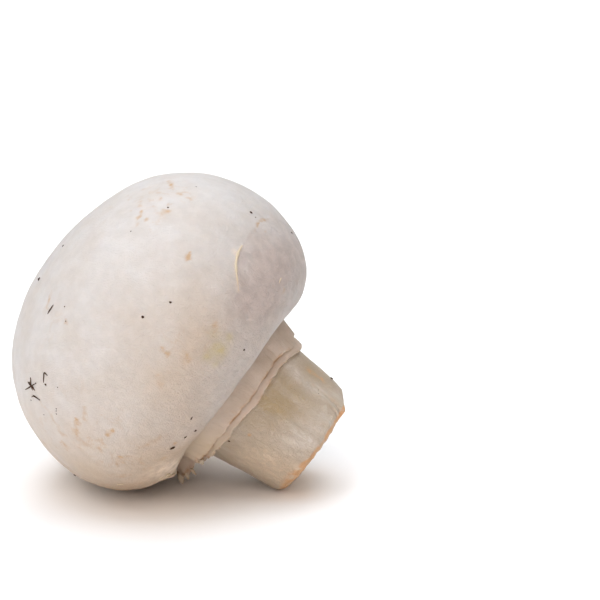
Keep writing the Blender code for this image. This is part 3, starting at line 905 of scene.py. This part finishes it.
def stemSpot(height, angleDegrees):
    angle = np.radians(np.array([angleDegrees, angleDegrees + 0.3]))
    widening = stemForm["topRadius"] - stemForm["endRadius"]
    radius = stemForm["endRadius"] + widening * height / veilForm["lipHeight"]
    edge = rimSize(angle)
    radius = radius - edge * (1 - np.sqrt(1 - np.clip(1 - height / edge, 0, 1) ** 2))
    places = stemPlace(angle, radius - 0.04, height)
    across = unit(places[1] - places[0])
    down = np.array([0, 0, -1.0])
    return places[0], unit(np.cross(down, across)), down, across


# The directions along and beside a heading, which turns from down towards across.
def headed(down, across, heading):
    a = math.radians(heading)
    return math.cos(a) * down + math.sin(a) * across, math.cos(a) * across - math.sin(a) * down


soilLook = {
    "colour": (0.040, 0.021, 0.013, 1), "dust": (0.13, 0.075, 0.045, 1), "roughness": 0.85, "gloss": 0.2,
    # crumbs on the cap: turn, angle, length and width in millimetres, heading in degrees
    "crumbs": ((76, 108, 0.42, 0.36, 0), (81.5, 117, 0.34, 0.30, 40), (89, 168, 0.42, 0.36, 20),
               (92, 167, 0.2, 0.16, 0), (120, 182, 0.34, 0.26, 60), (60, 152, 0.30, 0.24, 10),
               (51, 136, 0.20, 0.18, 0), (66, 170, 0.16, 0.13, 0), (14, 128, 0.36, 0.24, 80),
               (13.7, 74.5, 0.66, 0.44, 10), (44, 92, 0.2, 0.18, 0), (142.5, 119, 0.34, 0.26, 30),
               (145, 76.5, 0.55, 0.24, 70), (141, 70, 0.80, 0.42, 55), (137, 86, 0.60, 0.22, 100),
               (152, 80, 0.44, 0.30, 20), (59, 61, 0.22, 0.16, 0), (69, 57, 0.24, 0.14, 60),
               (49, 88, 0.18, 0.16, 0), (53.7, 51.1, 0.55, 0.34, 20), (52.2, 50.4, 0.4, 0.22, 70),
               (54.8, 51.9, 0.5, 0.24, 10), (54.8, 55.4, 0.22, 0.18, 30), (57.6, 49.5, 0.4, 0.2, 80),
               (60.4, 51.7, 0.36, 0.2, 40), (57.8, 45.5, 0.2, 0.16, 0), (58.8, 61.1, 0.32, 0.28, 40),
               (63.7, 65.8, 0.18, 0.16, 0), (68.5, 57.8, 0.2, 0.14, 0), (69.8, 56, 0.26, 0.12, 0),
               (66, 49, 0.16, 0.14, 0), (66, 236, 0.5, 0.34, 40), (98, 262, 0.4, 0.3, 10),
               (83, 305, 0.7, 0.4, 75), (112, 330, 0.4, 0.3, 0), (40, 280, 0.3, 0.24, 0),
               (131, 212, 0.4, 0.3, 60), (127, 290, 0.6, 0.4, 30), (90, 20, 0.4, 0.3, 0)),
    # crumbs on the stem and veil: height, angle, length and width, heading
    "stemCrumbs": ((11.6, 62, 0.34, 0.24, 40), (12.4, 46, 0.3, 0.2, 0), (12.7, 50, 0.2, 0.16, 60),
                   (4.1, 182.5, 0.5, 0.34, 30), (5.2, 150, 0.14, 0.10, 0), (4.9, 147, 0.12, 0.10, 0),
                   (6.0, 240, 0.4, 0.3, 10), (9.0, 300, 0.34, 0.3, 0)),
    # hairs: points as turn and angle
    "hairs": (((38.2, 81.6), (37.9, 84.6), (37.8, 87.4)),
              ((57.6, 60.8), (55.3, 63.4), (55.2, 64.3), (57.1, 64.9)),
              ((57.1, 47.3), (57.5, 49.5), (58.9, 51), (60.6, 51.9)),
              ((52.7, 43.9), (53.5, 48.6), (53.9, 51.4), (54.9, 55.4)),
              ((51.4, 49.6), (53.5, 50.8), (56.5, 52.5)), ((51.2, 53.4), (53.2, 51.4), (55.6, 50.6))),
    "hairWidth": 0.11,
}


# A crumb is a lumpy ball, flattened, sunk into the surface by a third of its height.
def crumb(spot, length, width, heading, seed):
    place, normal, down, across = spot
    lift = np.linspace(0.12, math.pi - 0.12, 9)[:, None]
    turn = (np.arange(14) * twoPi / 14)[None, :]
    flat = np.sin(lift)
    ball = np.stack([flat * np.cos(turn), flat * np.sin(turn), np.cos(lift) + 0 * turn], axis=-1)
    ball = ball * (1 + 0.45 * layeredNoise(ball + 17.3 * seed, 0.9, 2, 41))[..., None]
    ball = ball * np.array([length, width, 0.62 * width]) / 2
    along, beside = headed(down, across, heading)
    return place + normal * 0.12 * width + ball @ np.array([along, beside, normal])


def smoothPath(points, count):
    points = np.asarray(points, float)
    spread = np.linspace(0, len(points) - 1, count)
    path = np.stack([np.interp(spread, np.arange(len(points)), column) for column in points.T], axis=-1)
    for smoothing in range(3):
        path[1:-1] = (path[:-2] + 2 * path[1:-1] + path[2:]) / 4
    return path


# A smooth line laid over the cap: its places and their directions outwards from the middle of the cap.
def lineOnCap(line, count):
    path = np.radians(smoothPath(line, count))
    places = capSurface(path[:, 0], path[:, 1])
    return places, unit(places - np.array([0.0, 0.0, 26.0]))


def hair(line, seed):
    places, normal = lineOnCap(line, 18)
    places = places + normal * (0.03 + 0.10 * np.abs(softNoise(places + seed, 0.8, 42)))[:, None]
    ahead = unit(np.gradient(places, axis=0))
    across = unit(np.cross(normal, ahead))
    share = np.linspace(0.0, 1.0, len(places))[:, None]
    width = soilLook["hairWidth"] * (0.35 + 0.65 * np.sin(math.pi * np.clip(share, 0.02, 0.98)))
    return stripGrid(places, across, np.cross(ahead, across), width, width, 8)


def soilMaterial(groups):
    material, tree, shader = newMaterial("soil")
    mottle = useGroup(tree, groups["mottle"], vector=objectPlace(tree), scale=2600.0)
    share = maths(tree, "MULTIPLY", mottle["Clouds"], 0.5)
    tree.links.new(mixColour(tree, share, soilLook["colour"], soilLook["dust"]), shader.inputs["Base Color"])
    shader.inputs["Roughness"].default_value = soilLook["roughness"]
    shader.inputs["Specular IOR Level"].default_value = soilLook["gloss"]
    return material


def buildSoil(groups):
    material = soilMaterial(groups)
    crumbs = [crumb(capSpot(turn, angle), *shape, n)
              for n, (turn, angle, *shape) in enumerate(soilLook["crumbs"])]
    crumbs += [crumb(stemSpot(height, angle), *shape, 50 + n)
               for n, (height, angle, *shape) in enumerate(soilLook["stemCrumbs"])]
    makeMany("soilCrumbs", crumbs, slot="soil", material=material)
    hairs = [hair(line, 3.1 * n) for n, line in enumerate(soilLook["hairs"])]
    makeMany("soilHairs", hairs, slot="soil", material=material)


flakeLook = {
    # skin lifted off the cap: turn, angle, heading from the margin's direction, length, width, lift at the
    # end
    "flakes": ((133, 151.5, 100, 1.1, 0.14, 0.04), (120, 40, 60, 1.4, 0.4, 0.12),
               (85, 240, 40, 1.2, 0.4, 0.12), (108, 300, 70, 1.4, 0.4, 0.12), (64, 330, 20, 1.0, 0.4, 0.10)),
    # torn bits of the cap's margin over the lower veil
    "marginBits": ((168, 24, 6, 1.8, 2.4, 0.12), (158, 40, 16, 2.0, 1.5, 0.08)),
    "thick": 0.07, "stripWidth": 0.19,
}


# Noise along a strip, one value for each of its stations.
def stripNoise(share, seed, size, layers, noiseSeed):
    stations = np.concatenate([share, share * 0 + seed, share * 0], axis=1)
    return layeredNoise(stations, size, layers, noiseSeed)[:, None]


# A flake starts flush with the skin and bends away from it towards its free end.
def flake(turn, angle, heading, length, width, lift, seed, thick, blunt=0.5, curve=24.0):
    place, normal, down, across = capSpot(turn, angle)
    along, beside = headed(down, across, heading)
    share = np.linspace(0, 1, 22)[:, None]
    wander = stripNoise(share * 3, seed, 0.8, 1, 43)
    jag = stripNoise(share * 6, 5 + seed, 0.9, 2, 44)
    sink = 0.5 * (share - 0.5) ** 2 * length ** 2 / curve  # follows the cap's own curve
    path = place + (share - 0.5) * length * along + 0.25 * width * wander * beside
    path = path + normal * (0.02 - sink + lift * share ** 2.2 + 0.1 * lift * wander)
    outline = np.sin(math.pi * np.clip(share, 0.03, 0.97)) ** blunt * (1 + 0.5 * jag)
    half = 0.5 * width * np.clip(outline, 0.06, 2)
    return stripGrid(path, beside[None], normal[None], half, np.full_like(half, thick))


def flakeSkin(groups):
    material, tree, shader = newMaterial("flakeSkin")
    mottle = useGroup(tree, groups["mottle"], vector=objectPlace(tree), scale=900.0)
    specks = maths(tree, "MULTIPLY", mottle["Specks"], 0.35)
    clouds = maths(tree, "MULTIPLY", mottle["Clouds"], 0.12)
    colour = mixColour(tree, specks, skinFinish["flake"], skinFinish["warmTintAndShading"])
    finishShader(tree, shader, skinFinish, mixColour(tree, clouds, colour, skinFinish["tan"]))
    return material


# The edge of the peeled skin stands up as a narrow rolled strip along the line.
def peelStrip():
    places, normal = lineOnCap([(turn, angle) for angle, turn in capLook["peel"]], 60)
    across = unit(np.cross(normal, unit(np.gradient(places, axis=0))))
    share = np.linspace(0, 1, len(places))[:, None]
    uneven = 1 + 0.5 * layeredNoise(places, 0.8, 2, 48)[:, None]
    taper = 0.25 + 0.75 * ramp(share, 0.05, 0.35) * (1 - 0.6 * ramp(share, 0.75, 1.0))
    half = flakeLook["stripWidth"] * taper * uneven
    return stripGrid(places + 0.03 * normal, across, normal, half, 0.35 * half)


def buildFlakes(groups):
    material, thick = flakeSkin(groups), flakeLook["thick"]
    flakes = [flake(*values, n, thick) for n, values in enumerate(flakeLook["flakes"])]
    makeMany("skinFlakes", flakes + [peelStrip()], slot="cap_skin", material=material)
    bits = [flake(*values, 30 + n, 2.0 * thick, 0.15, 9.0)  # thicker, blunter and more curled
            for n, values in enumerate(flakeLook["marginBits"])]
    makeMany("marginTears", bits, slot="cap_skin", material=material)


tatterLook = {
    # strips of veil: start angle, radius and height, how far they run outwards, down (negative) and round,
    # their width, and how far they turn from the side that they hang on
    "strips": ((7, 15.4, 13.5, 0.9, -0.9, 0.3, 0.9, 0.3), (1, 15.6, 13.6, 0.9, -0.4, -0.5, 0.7, -0.3),
               (11, 14.4, 13.2, 0.7, -0.8, 0.4, 0.6, 0.2), (14, 13.6, 13.0, 0.3, -1.1, 0.2, 0.5, 0.4),
               (35, 12.4, 13.1, 0.4, -0.7, 0.2, 0.7, 0.3)),
    "thick": 0.13,
}


# A tatter hangs from the veil in an arc: its path is its start plus three spans, the downward one growing
# late.
def tatter(angle, radius, height, outwards, down, around, width, twist, seed):
    share = np.linspace(0, 1, 24)[:, None]
    a = math.radians(angle)
    out, side = np.array([math.cos(a), math.sin(a), 0]), np.array([-math.sin(a), math.cos(a), 0])
    wander = stripNoise(share * 2, seed, 0.9, 1, 45)
    jag = stripNoise(share * 5, 9 + seed, 0.9, 3, 46)
    path = stemPlace(np.array(a), radius, height) + share * outwards * out
    path = path + share ** 1.6 * down * np.array([0, 0, 1.0]) + (share * around + 0.25 * wander) * side
    ahead = unit(np.gradient(path, axis=0))
    across = unit(np.cross(ahead, np.broadcast_to(side + twist * out, path.shape)))
    half = 0.5 * width * np.clip((1 - 0.8 * share ** 6) * (1 + 0.55 * jag), 0.08, 2)
    return stripGrid(path, across, np.cross(ahead, across), half, tatterLook["thick"] * (1.1 - share))


def buildTatters(material):
    strips = [tatter(*values, 2.7 * n) for n, values in enumerate(tatterLook["strips"])]
    layers = {"grain": lambda points: points, "warmthAndPaintedShading": lambda points: np.full(len(points), 0.6),
              "stain": lambda points: np.clip(0.05 + 0.35 * softNoise(points, 1.1, 47), 0, 1)}
    makeMany("veilTatters", strips, layers=layers, slot="veil", material=material)


studio = {
    "floor": 0.97,
    # soft boxes: direction round from +X and up from the floor in degrees, size and distance in metres,
    # watts, tint
    "lights": {
        "overhead": (0, 90, 1.2, 1.3, 11.2, (0.89, 1.0, 1.11)),
        "keyLeft": (225, 40, 1.0, 1.3, 3.4, (0.96, 1.0, 1.0)),
        "fillFront": (268, 33, 1.2, 1.3, 8.2, (1.15, 0.985, 0.89)),
        "back": (82, 52, 1.0, 1.3, 5.9, (1.03, 1.0, 0.99)),
        "backLeft": (135, 45, 1.0, 1.3, 2.2, (1.10, 1.0, 0.93)),
        "lowLeft": (200, 14, 0.6, 1.3, 1.6, (1.15, 1.0, 0.88)),
        "steepLeft": (215, 62, 0.8, 1.3, 2.6, (1.0, 0.99, 1.02)),
        "right": (10, 40, 1.0, 1.3, 3.2, (1.10, 1.0, 0.90)),
    },
    "lens": 200.0, "sensor": 36.0, "distance": 0.499, "azimuth": 5.0, "elevation": 15.9,
    "aimRight": 0.01773, "aimUp": 0.02724,
}


def lookFrom(azimuth, elevation):
    a, e = math.radians(azimuth), math.radians(elevation)
    back = np.array([math.sin(a) * math.cos(e), -math.cos(a) * math.cos(e), math.sin(e)])
    right = np.array([math.cos(a), math.sin(a), 0])
    return back, right, np.cross(back, right)


def hangLight(scene, name, azimuth, elevation, size, distance, watts, tint):
    a, e = math.radians(azimuth), math.radians(elevation)
    light = bpy.data.lights.new(name, "AREA")
    light.energy, light.size, light.color = watts, size, tint
    box = bpy.data.objects.new(name, light)
    place = Vector((math.cos(a) * math.cos(e), math.sin(a) * math.cos(e), math.sin(e))) * distance
    box.location = place
    box.rotation_euler = place.to_track_quat("Z", "Y").to_euler()
    scene.collection.objects.link(box)


def layFloor():
    bpy.ops.mesh.primitive_plane_add(size=6)
    floor = bpy.context.object
    floor.name = "floor"
    material, _, shader = newMaterial("floorWhite")
    shader.inputs["Base Color"].default_value = (studio["floor"], studio["floor"], studio["floor"], 1)
    shader.inputs["Roughness"].default_value = 0.9
    shader.inputs["Specular IOR Level"].default_value = 0.0
    floor.data.materials.append(material)


def placeCamera(scene):
    back, right, up = lookFrom(studio["azimuth"], studio["elevation"])
    lens = bpy.data.cameras.new("camera")
    lens.lens, lens.sensor_width = studio["lens"], studio["sensor"]
    lens.clip_start = 0.01
    camera = bpy.data.objects.new("camera", lens)
    scene.collection.objects.link(camera)
    camera.location = right * studio["aimRight"] + up * studio["aimUp"] + back * studio["distance"]
    camera.rotation_euler = Vector(back).to_track_quat("Z", "Y").to_euler()
    scene.camera = camera


def buildStudio():
    scene = bpy.context.scene
    world = bpy.data.worlds.new("studio")
    world.use_nodes = True
    background = world.node_tree.nodes["Background"].inputs
    background["Color"].default_value = (1, 1, 1, 1)
    background["Strength"].default_value = 0.0
    scene.world = world
    scene.view_settings.view_transform = "Standard"
    layFloor()
    for name, settings in studio["lights"].items():
        hangLight(scene, name, *settings)
    placeCamera(scene)


buildStudio()
print("studio ready")
groups = buildGroups()
pieces = [buildCap(groups), buildVeil(groups), buildStem(groups)]
for piece in pieces:
    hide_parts("mushroom")
buildTatters(pieces[1].data.materials[0])
buildFlakes(groups)
buildSoil(groups)
print("mushroom built")
